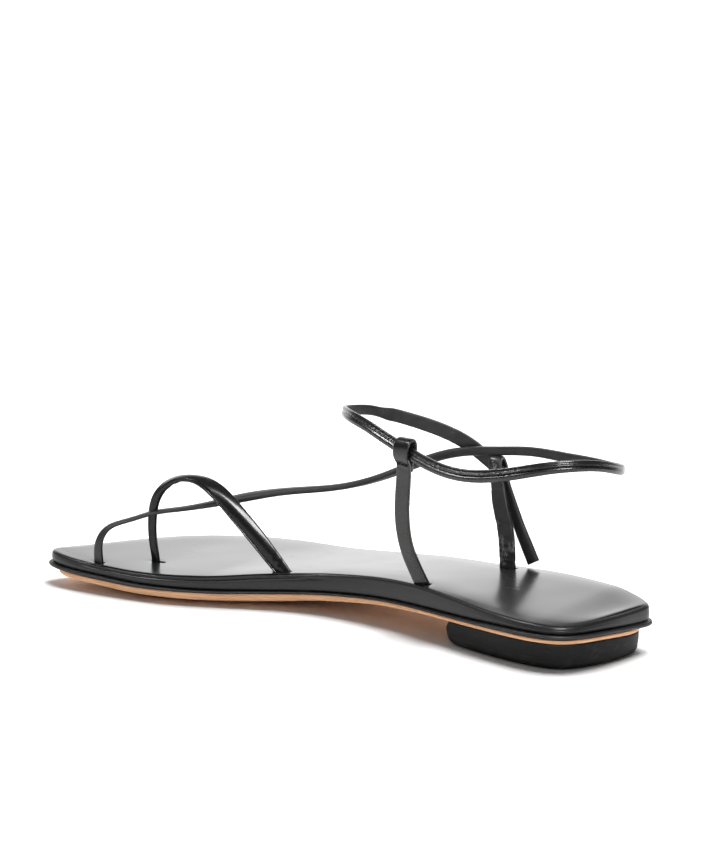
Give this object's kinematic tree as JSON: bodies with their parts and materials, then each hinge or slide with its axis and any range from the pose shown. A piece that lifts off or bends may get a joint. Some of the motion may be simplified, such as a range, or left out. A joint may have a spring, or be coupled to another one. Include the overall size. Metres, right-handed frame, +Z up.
{
  "type": "flat sandal",
  "caption": "Flat leather sandal for the right foot: narrow straps over the toes and instep and round the ankle, padded footbed, thin tan sole and low heel block.",
  "frame": {"origin": "centre of the bounding box, on the floor that the sole stands on", "axes": "+X from heel to toe, +Y toward the inner side of the foot, +Z up"},
  "size_m": [0.258, 0.0834, 0.0862],
  "materials": {
    "outsole": "matte natural tan",
    "heel_block": "matte",
    "welt": "satin",
    "footbed": "polished smooth",
    "upper": "satin smooth"
  },
  "bodies": {
    "root": {"outsole": "outsole", "heel_block": "heel_block", "welt": "welt", "footbed": "footbed", "upper": "upper"}
  },
  "joints": []
}
